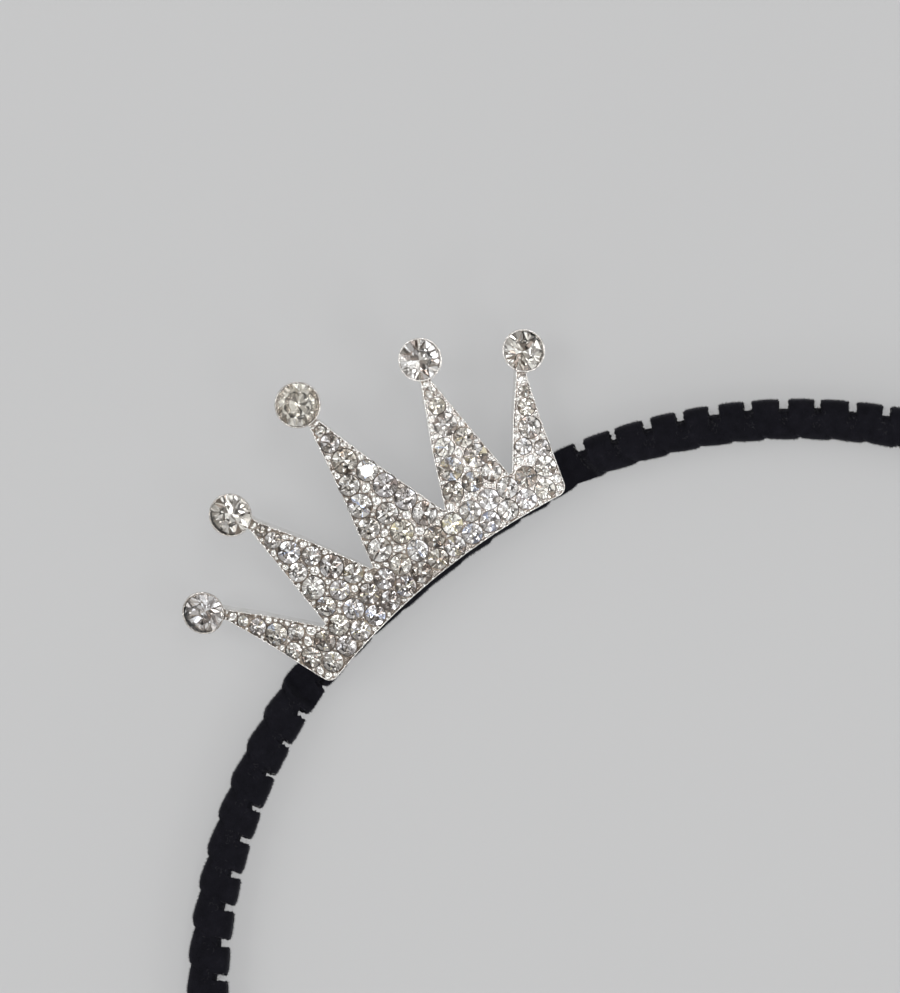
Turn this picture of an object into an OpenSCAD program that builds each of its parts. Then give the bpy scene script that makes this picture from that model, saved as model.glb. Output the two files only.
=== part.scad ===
// Mini crown headband: a slim band wound with velvet, and a small stone-set crown on its front.
// The band lies on its back in the XY plane, +Z is up and out of the crown's face, +Y points
// from the ends of the band to the tips of the crown, and +X is across.
// The origin is on the band's flattened back, right behind the middle of the crown.

/* [Band] */
// Front-to-back depth of the wound band
band_depth = 5; // [4:0.1:7]
// Thickness of the wound band seen from the front
band_thick = 4.3; // [3.5:0.1:6]
// Radius of the corners of the band's section
band_corner_r = 1.4; // [0.8:0.1:1.7]
// How much of the pile is pressed flat where the band lies on a surface
band_flat = 0.15; // [0.05:0.05:0.4]
// Radius of the nearly straight stretch behind the crown
top_r = 95; // [70:1:140]
// Angle that this stretch turns through on each side of the middle
top_turn = 10.5; // [8:0.5:13]
// Radius of the short tighter bend beside the crown
shoulder_r = 25; // [15:1:60]
// Angle that the tighter bend turns through
shoulder_turn = 6.7; // [3:0.1:9]
// Radius of the band's round sides
side_r = 63; // [55:1:75]
// Radius of the legs below the widest place
leg_r = 150; // [120:5:300]
// Angle that each leg turns inwards through
leg_turn = 22; // [14:1:26]

/* [Winding] */
// Number of turns of the ribbon on the left of the one in the middle
left_turns = 39; // [35:1:43]
// Number of turns of the ribbon on the right of the one in the middle
right_turns = 42; // [38:1:46]
// Depth of the open notch between two turns
notch_depth = 1.1; // [0.6:0.1:1.4]
// Depth of the crease on the other sides of the band
crease_depth = 0.22; // [0.12:0.01:0.4]
// How far each turn is domed between its creases
turn_dome = 0.12; // [0.05:0.01:0.15]
// Distance from the middle over which the notches pass from one edge to the other
notch_swing = 16; // [12:1:20]

/* [Crown] */
// Width over the lower corners of the crown
crown_w = 32.7; // [29:0.1:36]
// Height of the middle tip stone's centre above the lower corners
crown_h = 25.9; // [22:0.1:30]
// Thickness of the cast plate
plate_thick = 1.8; // [1.6:0.1:2.4]
// Radius that the plate is bent to across its width, measured at its back
plate_bend_r = 90; // [75:1:140]
// Distance from the middle of the band's thickness down to the crown's lower corners
crown_drop = 3.55; // [3:0.05:4]
// Gap between the band's front and the plate's back in the middle
crown_standoff = 0.5; // [0.2:0.05:0.9]
// Radius of the crown's hollow lower edge
lower_edge_r = 74; // [60:1:110]
// Radius of the two lower corners
lower_corner_r = 1.1; // [0.6:0.1:1.6]
// Width of the neck that joins a tine to its cup
neck_w = 1.2; // [0.9:0.1:1.6]

/* [Stones] */
// Largest diameter of a paved stone
pave_d = 2.7; // [2.3:0.05:2.9]
// Diameter of the stones in the two rows along the lower edge
rail_d = 2.2; // [1.8:0.05:2.3]
// Distance between those two rows
rail_spacing = 2.15; // [2.1:0.05:2.6]
// Metal between the lower edge and the first row of stones
rail_margin = 0.28; // [0.2:0.01:0.5]
// Metal left between a tine's edge and its stones
rim_w = 0.26; // [0.2:0.01:0.5]
// Least gap between neighbouring stones
stone_gap = 0.18; // [0.14:0.01:0.4]
// Clearance round a stone in its seat
seat_clear = 0.05; // [0.03:0.01:0.06]
// Diameter of the middle tip stone
mid_tip_d = 4.65; // [4:0.05:5.2]
// Diameter of the four other tip stones
side_tip_d = 4.35; // [3.6:0.05:4.8]
// Wall of a tip stone's cup at its rim
cup_wall = 0.15; // [0.12:0.01:0.3]
// Height of a cup's rim above the face of the plate
cup_rise = 0.9; // [0.5:0.1:1.4]
// Radius of a cup's foot at the back of the plate
cup_foot_r = 1.5; // [1.2:0.1:1.9]

/* [Hidden] */
$fn = 48;
bend_fn = 240;

// Clear space left between the crown's back and the pressed velvet
velvet_gap = 0.15;
// How far past the crown's sides the velvet stays pressed
press_past = 1.2;

velvet_colour = [0.07, 0.065, 0.085];
metal_colour = [0.78, 0.77, 0.75];
stone_colour = [0.86, 0.87, 0.88];

function clamp(v, low, high) = min(max(v, low), high);
function arc_length(r, turn) = r * turn * PI / 180;

// The crown's tines, right of the middle. Every length is a share of half the crown's width, or
// of its height, measured from the lower corners: [cup x, cup y, tip x, tip y, inner foot x,
// inner foot y, outer foot x, outer foot y, tip stone diameter]
half_w = crown_w / 2;
middle_tine = [0, 1, 0, 0.9, -0.303, 0.27, 0.303, 0.27, mid_tip_d];
inner_tine = [0.812, 0.822, 0.752, 0.728, 0.318, 0.27, 0.795, 0.212, side_tip_d];
outer_tine = [1.379, 0.574, 1.269, 0.494, 0.82, 0.208, 1.06, 0.06, side_tip_d];
function tine_place(tine, i) = [tine[i] * half_w, tine[i + 1] * crown_h];
function cup_place(tine) = tine_place(tine, 0);
function tip_place(tine) = tine_place(tine, 2);
function inner_foot(tine) = tine_place(tine, 4);
function outer_foot(tine) = tine_place(tine, 6);
function tip_stone_d(tine) = tine[8];
// The two sides of a bar neck_w wide at its end p, as it comes from q: [inner, outer]
function bar_end(q, p) = let(
    along = (p - q) / norm(p - q),
    across = [along.y, -along.x] * neck_w / 2
) [p - across, p + across];
function tine_tip(tine) = bar_end((inner_foot(tine) + outer_foot(tine)) / 2, tip_place(tine));
function neck_end(tine) = bar_end(tip_place(tine), (tip_place(tine) + 2 * cup_place(tine)) / 3);

// The hollow lower edge, an arc, and the crown's slanted sides
lower_edge_y = lower_edge_r - sqrt(pow(lower_edge_r, 2) - half_w * half_w);
function lower_edge(x) = lower_edge_y - lower_edge_r + sqrt(pow(lower_edge_r, 2) - x * x);
side_foot = outer_foot(outer_tine);
side_top = tine_tip(outer_tine)[1];
side_lean = (side_top.x - side_foot.x) / (side_top.y - side_foot.y);
side_stretch = sqrt(1 + side_lean * side_lean);
function side_edge(y) = side_foot.x + side_lean * (y - side_foot.y);

// The rounded lower corner touches the lower edge and the side
corner_x = side_edge(lower_corner_r) - lower_corner_r * side_stretch;
corner_mid = [
    corner_x,
    lower_edge_y - lower_edge_r + sqrt(pow(lower_edge_r + lower_corner_r, 2) - corner_x * corner_x)
];
corner_start = -asin(corner_x / (lower_edge_r + lower_corner_r));
corner_end = 90 - atan(side_lean);
corner_steps = 7;
edge_steps = 8;
edge_end = corner_x + lower_corner_r * sin(corner_start);

// Half of the crown's outline, from the middle of the lower edge to the neck of the middle tine
half_outline = concat(
    [for (i = [0:edge_steps - 1]) let(x = i / edge_steps * edge_end) [x, lower_edge(x)]],
    [for (i = [0:corner_steps])
        let(turn = corner_start + (corner_end - corner_start) * i / corner_steps)
        corner_mid + lower_corner_r * [sin(turn), -cos(turn)]],
    [tine_tip(outer_tine)[1], neck_end(outer_tine)[1], neck_end(outer_tine)[0]],
    [tine_tip(outer_tine)[0], inner_foot(outer_tine), outer_foot(inner_tine)],
    [tine_tip(inner_tine)[1], neck_end(inner_tine)[1], neck_end(inner_tine)[0]],
    [tine_tip(inner_tine)[0], inner_foot(inner_tine), outer_foot(middle_tine)],
    [tine_tip(middle_tine)[1], neck_end(middle_tine)[1]]
);
other_half = [for (i = [len(half_outline) - 1:-1:1]) [-half_outline[i].x, half_outline[i].y]];

// The band's route: arcs that follow one another from the middle to the end, [radius, turn]
band_arcs = [
    [top_r, top_turn],
    [shoulder_r, shoulder_turn],
    [side_r, 90 - top_turn - shoulder_turn],
    [leg_r, leg_turn]
];

// Where arc i starts: [x, y, heading, distance from the middle]
function arc_start(i) = i == 0 ? [0, 0, 0, 0] : let(
    from = arc_start(i - 1),
    r = band_arcs[i - 1][0],
    turn = band_arcs[i - 1][1]
) [
    from.x + r * (sin(from[2] + turn) - sin(from[2])),
    from.y + r * (cos(from[2] + turn) - cos(from[2])),
    from[2] + turn,
    from[3] + arc_length(r, turn)
];
arc_starts = [for (i = [0:len(band_arcs)]) arc_start(i)];
half_length = arc_starts[len(band_arcs)][3];
left_pitch = half_length / (left_turns + 0.5);
right_pitch = half_length / (right_turns + 0.5);
// Distance along the route of a place in the winding, counted in turns from the middle one
function wound(place) = place * (place < 0 ? left_pitch : right_pitch);

// The place on the route at distance s from the middle, negative on the left: [x, y, heading]
function route(s) = let(
    d = abs(s),
    side = s < 0 ? -1 : 1,
    i = max([for (k = [0:len(band_arcs) - 1]) if (k == 0 || d >= arc_starts[k][3]) k]),
    from = arc_starts[i],
    r = band_arcs[i][0],
    heading = from[2] + (d - from[3]) / r * 180 / PI
) [
    side * (from.x + r * (sin(heading) - sin(from[2]))),
    from.y + r * (cos(heading) - cos(from[2])),
    side * heading
];

// The band's section, [outwards, up] from its middle, round from the front by the outer edge
section_half_w = band_thick / 2;
section_half_h = (band_depth + band_flat) / 2;
section_mid_z = band_depth - section_half_h;
band_section = [
    for (corner = [0:3]) for (step = [0:2]) let(
        turn = 90 * corner + 45 * step,
        side_x = sign(sin(90 * corner + 45)),
        side_z = sign(cos(90 * corner + 45))
    ) [
        side_x * (section_half_w - band_corner_r) + band_corner_r * sin(turn),
        side_z * (section_half_h - band_corner_r) + band_corner_r * cos(turn)
    ]
];
section_sides = len(band_section);

// Where the notches are round the section: the inner edge on the left, the outer on the right
function notch_angle(s) = 180 - 90 * clamp(s / notch_swing, -1, 1);
// Share of the notch's depth at an angle away from it
function notch_share(angle) = clamp((cos(angle) - 0.2) / 0.4, 0, 1);
// The turns lean: how far a crease has moved on at an angle away from its notch, in turns. It
// runs straight across the band's edge in the notch, and is half a turn on at its far side
notch_half_angle = 55;
function lean_share(angle) = let(
    away = acos(cos(angle)),
    past = max(0, away - notch_half_angle) / (180 - notch_half_angle)
) (1 - cos(180 * past)) / 4;

// The rows of one turn of ribbon: [place in turns, dome, crease]
turn_rows = [
    [-0.37, 1, 0],
    [0, 0, 0],
    [0.37, 1, 0]
];
crease_rows = [
    [0.355, 0, 1],
    [0.645, 0, 1]
];
// The rounded end: [place past the last row in turns, share of the section]
end_rows = [
    [0.14, 0.82],
    [0.22, 0.5]
];
// Every row along the band: [place in turns from the middle, dome, crease, share of the section]
band_rows = concat(
    [for (i = [len(end_rows) - 1:-1:0])
        [-left_turns + turn_rows[0][0] - end_rows[i][0], 1, 0, end_rows[i][1]]],
    [for (turn = [-left_turns:right_turns])
        for (row = turn < right_turns ? concat(turn_rows, crease_rows) : turn_rows)
            [turn + row[0], row[1], row[2], 1]],
    [for (i = [0:len(end_rows) - 1])
        [right_turns + turn_rows[2][0] + end_rows[i][0], 1, 0, end_rows[i][1]]]
);

// Height of the plate's back above the surface at distance x from the middle
plate_axis_z = band_depth + crown_standoff - plate_bend_r;
plate_face_r = plate_bend_r + plate_thick;
function plate_back_z(x) = plate_axis_z + sqrt(pow(plate_bend_r, 2) - x * x);
press_half = side_edge(crown_drop + band_thick / 2) + press_past;

// A point of the band's surface
function band_point(row, point) = let(
    angle = atan2(point.x, point.y) - notch_angle(wound(row[0])),
    place = route(wound(row[0] + lean_share(angle))),
    cut = row[1] * turn_dome
        + row[2] * (crease_depth + (notch_depth - crease_depth) * notch_share(angle)),
    left = row[3] * (1 - cut / norm(point)),
    out = point.x * left,
    x = place.x + out * sin(place[2]),
    z = max(0, section_mid_z + point.y * left)
) [
    x,
    place.y + out * cos(place[2]),
    abs(x) < press_half ? min(z, plate_back_z(x) - velvet_gap) : z
];

// The closing point in the middle of an end
function end_point(s) = let(place = route(s)) [place.x, place.y, section_mid_z];

module velvet_band() {
    rows = len(band_rows);
    n = section_sides;
    points = concat(
        [for (row = band_rows) for (point = band_section) band_point(row, point)],
        [end_point(wound(band_rows[0][0])), end_point(wound(band_rows[rows - 1][0] + 0.5))]
    );
    walls = [
        for (i = [0:rows - 2]) for (j = [0:n - 1])
            [i * n + j, (i + 1) * n + j, (i + 1) * n + (j + 1) % n, i * n + (j + 1) % n]
    ];
    ends = [
        for (j = [0:n - 1]) each [
            [rows * n, j, (j + 1) % n],
            [rows * n + 1, (rows - 1) * n + (j + 1) % n, (rows - 1) * n + j]
        ]
    ];
    color(velvet_colour) polyhedron(points, concat(walls, ends));
}

// The two rows of stones along the lower edge, on arcs about its centre. The second row has one
// stone more, and its stones stand between those of the first.
rail_rise = rail_margin + rail_d / 2;
function rail_r(row) = lower_edge_r + rail_rise + row * rail_spacing;
function rail_reach(row) = asin(
    (side_edge(rail_rise + row * rail_spacing) - (rim_w + rail_d / 2) * side_stretch) / rail_r(row)
);
rail_count = floor(2 * arc_length(rail_r(0), rail_reach(0)) / (rail_d + stone_gap)) + 1;
rail_step = min(2 * rail_reach(0) / (rail_count - 1), 2 * rail_reach(1) / rail_count);
rail_stones = [
    for (row = [0:1]) for (i = [0:rail_count - 1 + row])
        let(turn = (i - (rail_count - 1 + row) / 2) * rail_step)
        [rail_r(row) * sin(turn), lower_edge_y - lower_edge_r + rail_r(row) * cos(turn), rail_d]
];

// The rows of stones up a tine: [share of the tine's height, number of stones, share of pave_d]
middle_rows = [
    [0.064, 3, 0.93],
    [0.22, 3, 0.9],
    [0.375, 2, 0.94],
    [0.528, 2, 0.85],
    [0.672, 1, 0.96],
    [0.826, 1, 0.74],
    [0.93, 1, 0.4]
];
inner_rows = [
    [0.09, 3, 0.82],
    [0.27, 2, 0.92],
    [0.455, 2, 0.8],
    [0.62, 1, 0.88],
    [0.79, 1, 0.63],
    [0.915, 1, 0.41]
];
outer_rows = [
    [0.28, 2, 0.66],
    [0.485, 1, 0.85],
    [0.69, 1, 0.65],
    [0.85, 1, 0.43]
];
function tine_stones(tine, rows) = [
    for (row = rows) let(
        tip = tine_tip(tine),
        a = inner_foot(tine) + row[0] * (tip[0] - inner_foot(tine)),
        b = outer_foot(tine) + row[0] * (tip[1] - outer_foot(tine)),
        room = norm(b - a) - 2 * rim_w,
        d = min(row[2] * pave_d, room / row[1] - stone_gap),
        step = row[1] > 1 ? (room - d) / (row[1] - 1) : 0
    ) for (i = [0:row[1] - 1])
        let(p = (a + b) / 2 + (b - a) / norm(b - a) * (i - (row[1] - 1) / 2) * step) [p.x, p.y, d]
];
function flip(stones) = [for (stone = stones) [-stone[0], stone[1], stone[2]]];
side_stones = concat(tine_stones(inner_tine, inner_rows), tine_stones(outer_tine, outer_rows));
wanted_pave = concat(rail_stones, tine_stones(middle_tine, middle_rows), side_stones,
    flip(side_stones));

// A stone shrinks where it would come nearer than stone_gap to another
function stone_apart(a, b) = norm([a[0] - b[0], a[1] - b[1]]) - stone_gap;
all_pave = [
    for (i = [0:len(wanted_pave) - 1]) let(
        a = wanted_pave[i],
        shares = [for (k = [0:len(wanted_pave) - 1]) if (k != i)
            2 * stone_apart(a, wanted_pave[k]) / (a[2] + wanted_pave[k][2])]
    ) [a[0], a[1], a[2] * min(1, min(shares))]
];

// Moves its children to the plate's face at [x, height above the lower corners]
module on_face(x, y) {
    lean = asin(x / plate_face_r);
    translate([x, y - crown_drop, plate_axis_z + plate_face_r * cos(lean)])
        rotate([0, lean, 0]) children();
}

// Shares of a cut stone's diameter
table_share = 0.56;
crown_share = 0.17;
pavilion_share = 0.42;
// Depth of a stone's girdle below the face of the plate, or below its cup's rim
girdle_sink = 0.12;

// A round cut stone with its girdle at height 0: a table, 24 crown facets and 16 pavilion facets
module cut_stone(d) {
    table_n = 8;
    girdle_n = 2 * table_n;
    points = concat(
        [for (i = [0:table_n - 1]) let(turn = 360 * i / table_n)
            [d / 2 * table_share * cos(turn), d / 2 * table_share * sin(turn), d * crown_share]],
        [for (i = [0:girdle_n - 1]) let(turn = 360 * i / girdle_n)
            [d / 2 * cos(turn), d / 2 * sin(turn), 0]],
        [[0, 0, -d * pavilion_share]]
    );
    culet = table_n + girdle_n;
    table = [[for (i = [table_n - 1:-1:0]) i]];
    crown_facets = [
        for (i = [0:table_n - 1]) let(
            next = (i + 1) % table_n,
            g = table_n + 2 * i,
            g_next = table_n + (2 * i + 2) % girdle_n
        ) each [[i, next, g + 1], [i, g + 1, g], [next, g_next, g + 1]]
    ];
    pavilion = [
        for (i = [0:girdle_n - 1]) [table_n + i, table_n + (i + 1) % girdle_n, culet]
    ];
    polyhedron(points, concat(table, crown_facets, pavilion));
}

// A blind seat with a flat floor under a paved stone
module pave_seat(d) {
    depth = girdle_sink + d * pavilion_share + seat_clear;
    translate([0, 0, -depth]) cylinder(h = depth + plate_thick, r = d / 2 + seat_clear);
}

// The outside of a tip stone's cup, from the back of the plate to its rim
module cup_body(d) {
    rim_r = d / 2 + seat_clear + cup_wall;
    translate([0, 0, -plate_thick])
        cylinder(h = plate_thick + cup_rise, r1 = cup_foot_r, r2 = rim_r);
}

// The funnel inside a cup, which follows the stone's pavilion
module cup_seat(d) {
    seat_r = d / 2 + seat_clear;
    depth = 2 * seat_r * pavilion_share;
    girdle_z = cup_rise - girdle_sink;
    translate([0, 0, girdle_z - seat_clear - depth]) cylinder(h = depth, r1 = 0, r2 = seat_r);
    translate([0, 0, girdle_z - seat_clear]) cylinder(h = 2 * cup_rise, r = seat_r);
}

// The crown's outline widened upwards from the surface, so that every side wall points at the
// axis of the plate's bend
module fanned_outline() {
    top_z = 2 * (band_depth + plate_thick);
    translate([0, -crown_drop, 0])
        linear_extrude(top_z, slices = 1, scale = [(top_z - plate_axis_z) / -plate_axis_z, 1])
            polygon([for (point = concat(half_outline, other_half))
                [-plate_axis_z * tan(asin(point.x / plate_face_r)), point.y]]);
}

// The cast plate: the outline cut from a bent sheet
module bent_plate() {
    tall = 2 * crown_h;
    intersection() {
        fanned_outline();
        translate([0, tall, plate_axis_z]) rotate([90, 0, 0]) difference() {
            cylinder(h = 2 * tall, r = plate_face_r, $fn = bend_fn);
            translate([0, 0, -tall]) cylinder(h = 4 * tall, r = plate_bend_r, $fn = bend_fn);
        }
    }
}

tip_tines = [
    [-1, outer_tine], [-1, inner_tine], [1, middle_tine], [1, inner_tine], [1, outer_tine]
];

module crown_frame() {
    color(metal_colour) difference() {
        union() {
            bent_plate();
            for (tip = tip_tines)
                on_face(tip[0] * cup_place(tip[1]).x, cup_place(tip[1]).y) cup_body(tip_stone_d(tip[1]));
        }
        for (tip = tip_tines)
            on_face(tip[0] * cup_place(tip[1]).x, cup_place(tip[1]).y) cup_seat(tip_stone_d(tip[1]));
        for (stone = all_pave) on_face(stone[0], stone[1]) pave_seat(stone[2]);
    }
}

module pave_stones() {
    color(stone_colour) for (stone = all_pave)
        on_face(stone[0], stone[1]) translate([0, 0, -girdle_sink]) cut_stone(stone[2]);
}

module tip_stone(index) {
    tip = tip_tines[index];
    color(stone_colour) on_face(tip[0] * cup_place(tip[1]).x, cup_place(tip[1]).y)
        translate([0, 0, cup_rise - girdle_sink]) cut_stone(tip_stone_d(tip[1]));
}

velvet_band();
crown_frame();
pave_stones();
tip_stone(0);  // tip_stone_left_outer
tip_stone(1);  // tip_stone_left_inner
tip_stone(2);  // tip_stone_middle
tip_stone(3);  // tip_stone_right_inner
tip_stone(4);  // tip_stone_right_outer
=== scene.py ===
# Mini crown headband: the looks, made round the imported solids, all in metres.
import math
from contextlib import contextmanager
from types import SimpleNamespace

import bmesh
import bpy
import numpy as np
from mathutils import Matrix, Vector


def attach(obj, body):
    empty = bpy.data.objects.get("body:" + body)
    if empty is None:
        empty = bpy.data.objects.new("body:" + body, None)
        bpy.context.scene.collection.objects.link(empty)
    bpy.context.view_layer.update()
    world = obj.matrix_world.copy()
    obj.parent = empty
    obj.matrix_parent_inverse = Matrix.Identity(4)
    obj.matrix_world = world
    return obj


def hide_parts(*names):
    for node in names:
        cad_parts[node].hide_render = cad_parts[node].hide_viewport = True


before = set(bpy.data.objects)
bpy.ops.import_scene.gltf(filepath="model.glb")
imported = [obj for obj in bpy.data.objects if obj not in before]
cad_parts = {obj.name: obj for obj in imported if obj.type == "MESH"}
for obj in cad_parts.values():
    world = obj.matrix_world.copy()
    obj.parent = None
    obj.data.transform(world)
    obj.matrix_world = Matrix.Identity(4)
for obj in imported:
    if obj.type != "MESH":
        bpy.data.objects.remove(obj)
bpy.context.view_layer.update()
mm = 0.001
sameSpot = 1e-7        # points nearer to each other than this are one
print("frame loaded:", ", ".join(sorted(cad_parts)))

# The crown's plate is bent round an axis that runs from the ends of the band to the tips
plate = {
    "faceRadius": 91.8 * mm,
    "axisHeight": -84.5 * mm,
    "thickness": 1.8 * mm,
    "velvetGap": 0.15 * mm,
    "pressedHalf": 20.0 * mm,      # the velvet is pressed flat as far as here on both sides
    "pressFade": 0.9 * mm,         # and rises again over this
    "faceTolerance": 0.01 * mm,
}


def faceNormal(x):
    lean = np.arcsin(x / plate["faceRadius"])
    return np.stack([np.sin(lean), 0 * lean, np.cos(lean)], -1)


def onFace(x, y, up):
    # points of the plate's face, lifted along the face's own normal
    points = faceNormal(x) * np.expand_dims(plate["faceRadius"] + up, -1)
    points[:, 1] = y
    points[:, 2] += plate["axisHeight"]
    return points


# Small helpers for node trees. Most return the output that the next node reads

def setInputs(node, inputs):
    # each input gets a value, or a link from another node's output
    for key, value in inputs.items():
        if isinstance(value, bpy.types.NodeSocket):
            node.id_data.links.new(value, node.inputs[key])
        else:
            node.inputs[key].default_value = value


def addNode(tree, kind, inputs=None, **settings):
    node = tree.nodes.new(kind)
    for key, value in settings.items():
        setattr(node, key, value)
    setInputs(node, inputs or {})
    return node


def makeTree(name, **inputs):
    # a geometry tree with its named inputs, each given as a kind of socket, and its output node
    tree = bpy.data.node_groups.new(name, "GeometryNodeTree")
    for label, kind in {"Geometry": "Geometry", **inputs}.items():
        tree.interface.new_socket(label, in_out="INPUT", socket_type="NodeSocket" + kind)
    tree.interface.new_socket("Geometry", in_out="OUTPUT", socket_type="NodeSocketGeometry")
    return tree, addNode(tree, "NodeGroupInput").outputs, addNode(tree, "NodeGroupOutput")


def namedValue(tree, label, kind="FLOAT"):
    node = addNode(tree, "GeometryNodeInputNamedAttribute", {"Name": label}, data_type=kind)
    return node.outputs["Attribute"]


def calculated(tree, operation, *values):
    inputs = dict(enumerate(values))
    return addNode(tree, "ShaderNodeMath", inputs, operation=operation).outputs["Value"]


def vectorOf(tree, operation, *values, output="Vector"):
    inputs = dict(enumerate(values))
    return addNode(tree, "ShaderNodeVectorMath", inputs, operation=operation).outputs[output]


def randomBetween(tree, low, high, seed):
    # the number sockets of this node come after its vector sockets
    inputs = {2: low, 3: high, "Seed": seed}
    return addNode(tree, "FunctionNodeRandomValue", inputs, data_type="FLOAT").outputs[1]


def asTurn(tree, angles):
    return addNode(tree, "FunctionNodeEulerToRotation", {"Euler": angles}).outputs["Rotation"]


def turnedBy(tree, turn, more):
    # a turn, and then another about the axes that it has turned
    inputs = {"Rotation": turn, "Rotate By": more}
    node = addNode(tree, "FunctionNodeRotateRotation", inputs, rotation_space="LOCAL")
    return node.outputs["Rotation"]


def toOwnAxis(tree):
    # the turn that brings the Z axis to each point's own axis
    inputs = {"Vector": namedValue(tree, "axis", "FLOAT_VECTOR")}
    return addNode(tree, "FunctionNodeAlignRotationToVector", inputs, axis="Z").outputs["Rotation"]


def standOn(tree, points, thing, turn, scale):
    # the thing at every point, made real
    inputs = {"Points": points, "Instance": thing, "Rotation": turn, "Scale": scale}
    stand = addNode(tree, "GeometryNodeInstanceOnPoints", inputs).outputs["Instances"]
    return addNode(tree, "GeometryNodeRealizeInstances", {"Geometry": stand}).outputs["Geometry"]


def circle(tree, points, radius):
    inputs = {"Resolution": points, "Radius": radius}
    return addNode(tree, "GeometryNodeCurvePrimitiveCircle", inputs).outputs["Curve"]


def sweepWire(tree, path, radius, sides, scale=1.0, caps=False):
    # round wire along a curve, as thick in each place as the scale says
    section = circle(tree, sides, radius)
    inputs = {"Curve": path, "Profile Curve": section, "Scale": scale, "Fill Caps": caps}
    return addNode(tree, "GeometryNodeCurveToMesh", inputs).outputs["Mesh"]


def smoothed(tree, shape):
    return addNode(tree, "GeometryNodeSetShadeSmooth", {"Geometry": shape}).outputs["Geometry"]


def painted(tree, shape, material):
    inputs = {"Geometry": shape, "Material": material}
    return addNode(tree, "GeometryNodeSetMaterial", inputs).outputs["Geometry"]


def finishTree(leave, shape):
    setInputs(leave, {"Geometry": shape})
    return leave.id_data


# Small helpers for objects and materials

@contextmanager
def edited(mesh):
    # the mesh opened as a bmesh, and written back afterwards
    shape = bmesh.new()
    shape.from_mesh(mesh)
    yield shape
    shape.to_mesh(mesh)
    shape.free()


def addObject(name, data):
    thing = bpy.data.objects.new(name, data)
    bpy.context.scene.collection.objects.link(thing)
    return thing


def meshObject(name, points, faces=()):
    mesh = bpy.data.meshes.new(name)
    mesh.from_pydata([tuple(p) for p in points], [], [tuple(f) for f in faces])
    mesh.update()
    return addObject(name, mesh)


def pointCloud(name, points, **columns):
    # bare vertices that carry one named value each for every column
    cloud = meshObject(name, points)
    for label, values in columns.items():
        values = np.asarray(values, float)
        kind, field = ("FLOAT_VECTOR", "vector") if values.ndim == 2 else ("FLOAT", "value")
        cloud.data.attributes.new(label, kind, "POINT").data.foreach_set(field, values.ravel())
    return cloud


def runTree(base, tree, values, name):
    # runs the tree on the base and keeps only the result, as a plain mesh object
    modifier = base.modifiers.new("making", "NODES")
    modifier.node_group = tree
    for item in tree.interface.items_tree:
        if item.item_type == "SOCKET" and item.in_out == "INPUT" and item.name in values:
            modifier[item.identifier] = values[item.name]
    graph = bpy.context.evaluated_depsgraph_get()
    mesh = bpy.data.meshes.new_from_object(base.evaluated_get(graph), depsgraph=graph)
    mesh.name = name
    base.modifiers.remove(modifier)
    bpy.data.objects.remove(base)
    return addObject(name, mesh)


def dress(piece, slot, *replaced):
    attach(piece, "root")
    if replaced:
        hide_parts(*replaced)
    return piece


def newMaterial(name, inputs):
    material = bpy.data.materials.new(name)
    material.use_nodes = True
    shader = material.node_tree.nodes["Principled BSDF"]
    setInputs(shader, inputs)
    return material, material.node_tree, shader


def noiseOn(tree, scale, detail=3.0, roughness=0.5, space="Object"):
    where = addNode(tree, "ShaderNodeTexCoord").outputs[space]
    inputs = {"Vector": where, "Scale": scale, "Detail": detail, "Roughness": roughness}
    return addNode(tree, "ShaderNodeTexNoise", inputs).outputs["Fac"]


def colourRamp(tree, share, stops, interpolation="LINEAR"):
    node = addNode(tree, "ShaderNodeValToRGB", {"Fac": share})
    ramp = node.color_ramp
    ramp.interpolation = interpolation
    while len(ramp.elements) < len(stops):
        ramp.elements.new(0.5)
    for element, (place, colour) in zip(ramp.elements, stops):
        element.position = place
        element.color = (*colour, 1)
    return node.outputs["Color"]


def mixedColour(tree, share, first, second):
    # the colour sockets of this node come after its number and vector sockets
    inputs = {"Factor": share, 6: first, 7: second}
    return addNode(tree, "ShaderNodeMix", inputs, data_type="RGBA").outputs[2]


def ownValue(tree, label):
    return addNode(tree, "ShaderNodeAttribute", attribute_name=label).outputs["Fac"]


def bumped(tree, height, strength, distance):
    inputs = {"Height": height, "Strength": strength, "Distance": distance}
    return addNode(tree, "ShaderNodeBump", inputs).outputs["Normal"]


def tonedMaterial(name, share, stops, inputs, interpolation="LINEAR"):
    # its colour runs through the stops by share: a noise's settings, or the name of a value of its own
    material, tree, shader = newMaterial(name, inputs)
    value = ownValue(tree, share) if isinstance(share, str) else noiseOn(tree, **share)
    setInputs(shader, {"Base Color": colourRamp(tree, value, stops, interpolation)})
    return material


# The camera comes first: it looks down on the crown as the photograph does
view = {
    "target": (6.28 * mm, 3.99 * mm, 3 * mm),
    "distance": 403.8 * mm,
    "tiltToTips": 1.84,        # degrees
    "tiltToRight": 2.65,
    "roll": 39.3,
    "lens": 132.7,             # millimetres
}


def makeCamera():
    up, side, roll = (math.radians(view[k]) for k in ("tiltToTips", "tiltToRight", "roll"))
    back = Vector((math.sin(side) * math.cos(up), math.sin(up), math.cos(side) * math.cos(up)))
    right = Vector((math.sin(roll), math.cos(roll), 0)).cross(back).normalized()
    turned = Matrix((right, back.cross(right), back)).transposed().to_4x4()
    data = bpy.data.cameras.new("camera")
    data.lens = view["lens"]
    camera = addObject("camera", data)
    camera.matrix_world = Matrix.Translation(Vector(view["target"]) + back * view["distance"]) @ turned
    bpy.context.scene.camera = camera


makeCamera()
print("camera placed")

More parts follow.
